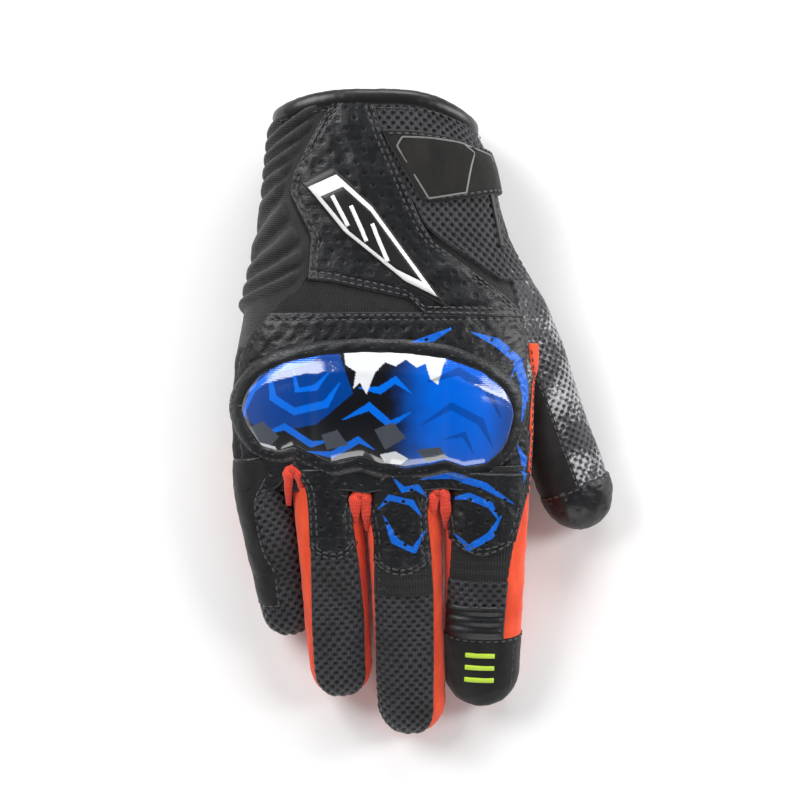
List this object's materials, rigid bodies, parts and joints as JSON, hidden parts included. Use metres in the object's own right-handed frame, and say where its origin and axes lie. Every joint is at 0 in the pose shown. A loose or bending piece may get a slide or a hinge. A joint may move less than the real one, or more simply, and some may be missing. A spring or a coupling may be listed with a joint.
{
  "type": "riding glove",
  "caption": "Short-cuff riding glove for the right hand, with a hard knuckle guard, wrist strap and jointed fingers and thumb.",
  "frame": {"origin": "Centre of the glove's outline in plan, on the surface it lies on", "axes": "+X to the thumb side, +Y to the cuff, +Z out of the back of the hand"},
  "size_m": [0.1488, 0.2534, 0.0538],
  "materials": {
    "black_leather": "perforated grained goat leather, semi-matt",
    "stretch_rib": "padded ribbed stretch fabric, matt",
    "black_suede": "synthetic suede, matt",
    "black_mesh": "3-D spacer mesh",
    "orange_suede": "orange-red synthetic suede",
    "red_knit": "red knit web fabric",
    "smooth_binding": "smooth rolled binding",
    "stretch_knit": "stretch knit",
    "moulded_badge": "soft moulded badge, white edge on black",
    "gloss_guard": "gloss moulded shell with plain angular colour areas",
    "foam": "closed-cell foam",
    "strap_suede": "matt strap, stitched edge",
    "strap_print": "silver print on a moulded grip",
    "loop_pile": "loop pile",
    "hook_tape": "moulded hook tape"
  },
  "bodies": {
    "hand": {"back_leather": "black_leather", "rib_panel": "stretch_rib", "outer_side_patch": "black_suede", "palm_suede": "black_suede", "thumb_gore": "black_mesh", "index_side_wall": "orange_suede", "cuff_gusset": "black_mesh", "cuff_binding": "smooth_binding", "stretch_insert": "stretch_knit", "badge": "moulded_badge", "knuckle_guard": "gloss_guard", "knuckle_foam": "foam", "guard_frame": "black_leather", "heel_pad": "black_leather", "palm_overlay": "black_suede", "web_gussets": "red_knit", "strap": "strap_suede", "strap_grip": "strap_print", "loop_patch": "loop_pile"},
    "strap_tab": {"strap_tab": "strap_suede", "hook_patch": "hook_tape"},
    "thumb_root": {"thumb_root_back": "black_mesh", "thumb_root_palm": "black_suede"},
    "thumb_tip": {"thumb_tip_back": "black_leather", "thumb_tip_palm": "black_suede"},
    "little_root": {"little_root_back": "black_suede", "little_root_palm": "orange_suede", "little_root_sides": "red_knit"},
    "little_mid": {"little_mid_back": "black_mesh", "little_mid_palm": "orange_suede", "little_mid_sides": "orange_suede"},
    "little_tip": {"little_tip_back": "black_mesh", "little_tip_palm": "orange_suede"},
    "ring_root": {"ring_root_back": "black_leather", "ring_root_palm": "orange_suede", "ring_root_sides": "red_knit"},
    "ring_mid": {"ring_mid_back": "black_mesh", "ring_mid_palm": "orange_suede", "ring_mid_sides": "orange_suede"},
    "ring_tip": {"ring_tip_back": "black_mesh", "ring_tip_palm": "orange_suede"},
    "middle_root": {"middle_root_back": "black_leather", "middle_root_palm": "orange_suede", "middle_root_sides": "red_knit"},
    "middle_mid": {"middle_mid_back": "black_mesh", "middle_mid_palm": "orange_suede", "middle_mid_sides": "orange_suede"},
    "middle_tip": {"middle_tip_back": "black_mesh", "middle_tip_palm": "orange_suede"},
    "index_root": {"index_root_back": "black_leather", "index_root_palm": "orange_suede", "index_root_sides": "red_knit"},
    "index_mid": {"index_mid_back": "black_mesh", "index_mid_palm": "orange_suede", "index_mid_sides": "orange_suede"},
    "index_tip": {"index_tip_back": "black_suede", "index_tip_palm": "orange_suede"}
  },
  "joints": [
    {"name": "little_root_hinge", "type": "hinge", "parent": "hand", "child": "little_root", "pos_m": [-0.06385, -0.02825, 0.0226], "axis": [0.9781, 0.2079, 0], "range_deg": [0, 60]},
    {"name": "little_middle_hinge", "type": "hinge", "parent": "little_root", "child": "little_mid", "pos_m": [-0.0589, -0.05155, 0.01968], "axis": [0.9781, 0.2079, 0], "range_deg": [0, 70]},
    {"name": "little_tip_hinge", "type": "hinge", "parent": "little_mid", "child": "little_tip", "pos_m": [-0.05506, -0.06963, 0.01524], "axis": [0.9781, 0.2079, 0], "range_deg": [0, 35]},
    {"name": "ring_root_hinge", "type": "hinge", "parent": "hand", "child": "ring_root", "pos_m": [-0.03455, -0.03275, 0.0266], "axis": [0.9976, 0.0698, 0], "range_deg": [0, 60]},
    {"name": "ring_middle_hinge", "type": "hinge", "parent": "ring_root", "child": "ring_mid", "pos_m": [-0.03254, -0.06147, 0.02307], "axis": [0.9976, 0.0698, 0], "range_deg": [0, 70]},
    {"name": "ring_tip_hinge", "type": "hinge", "parent": "ring_mid", "child": "ring_tip", "pos_m": [-0.03085, -0.08572, 0.01723], "axis": [0.9976, 0.0698, 0], "range_deg": [0, 35]},
    {"name": "middle_root_hinge", "type": "hinge", "parent": "hand", "child": "middle_root", "pos_m": [-0.0049, -0.03526, 0.0276], "axis": [0.999, 0.0436, 0], "range_deg": [0, 60]},
    {"name": "middle_middle_hinge", "type": "hinge", "parent": "middle_root", "child": "middle_mid", "pos_m": [-0.00349, -0.06748, 0.02364], "axis": [0.999, 0.0436, 0], "range_deg": [0, 70]},
    {"name": "middle_tip_hinge", "type": "hinge", "parent": "middle_mid", "child": "middle_tip", "pos_m": [-0.00229, -0.09517, 0.01699], "axis": [0.999, 0.0436, 0], "range_deg": [0, 35]},
    {"name": "index_root_hinge", "type": "hinge", "parent": "hand", "child": "index_root", "pos_m": [0.028, -0.03476, 0.0271], "axis": [0.9997, -0.0262, 0], "range_deg": [0, 60]},
    {"name": "index_middle_hinge", "type": "hinge", "parent": "index_root", "child": "index_mid", "pos_m": [0.02727, -0.06254, 0.02369], "axis": [0.9997, -0.0262, 0], "range_deg": [0, 70]},
    {"name": "index_tip_hinge", "type": "hinge", "parent": "index_mid", "child": "index_tip", "pos_m": [0.02666, -0.08586, 0.01809], "axis": [0.9997, -0.0262, 0], "range_deg": [0, 35]},
    {"name": "thumb_root_hinge", "type": "hinge", "parent": "hand", "child": "thumb_root", "pos_m": [0.0435, 0.02254, 0.0168], "axis": [0.9193, 0.3685, -0.1384], "range_deg": [0, 15]},
    {"name": "thumb_middle_hinge", "type": "hinge", "parent": "thumb_root", "child": "thumb_tip", "pos_m": [0.05562, -0.00902, 0.01325], "axis": [0.9193, 0.3685, -0.1384], "range_deg": [0, 32]},
    {"name": "strap_tab_hinge", "type": "hinge", "parent": "hand", "child": "strap_tab", "pos_m": [0.01852, 0.09574, 0.01053], "axis": [0.2232, -0.9747, 0.0112], "range_deg": [0, 110]}
  ],
  "couplings": [
    {"joint": "little_tip_hinge", "follows": "little_middle_hinge", "ratio": 0.5},
    {"joint": "ring_tip_hinge", "follows": "ring_middle_hinge", "ratio": 0.5},
    {"joint": "middle_tip_hinge", "follows": "middle_middle_hinge", "ratio": 0.5},
    {"joint": "index_tip_hinge", "follows": "index_middle_hinge", "ratio": 0.5}
  ]
}
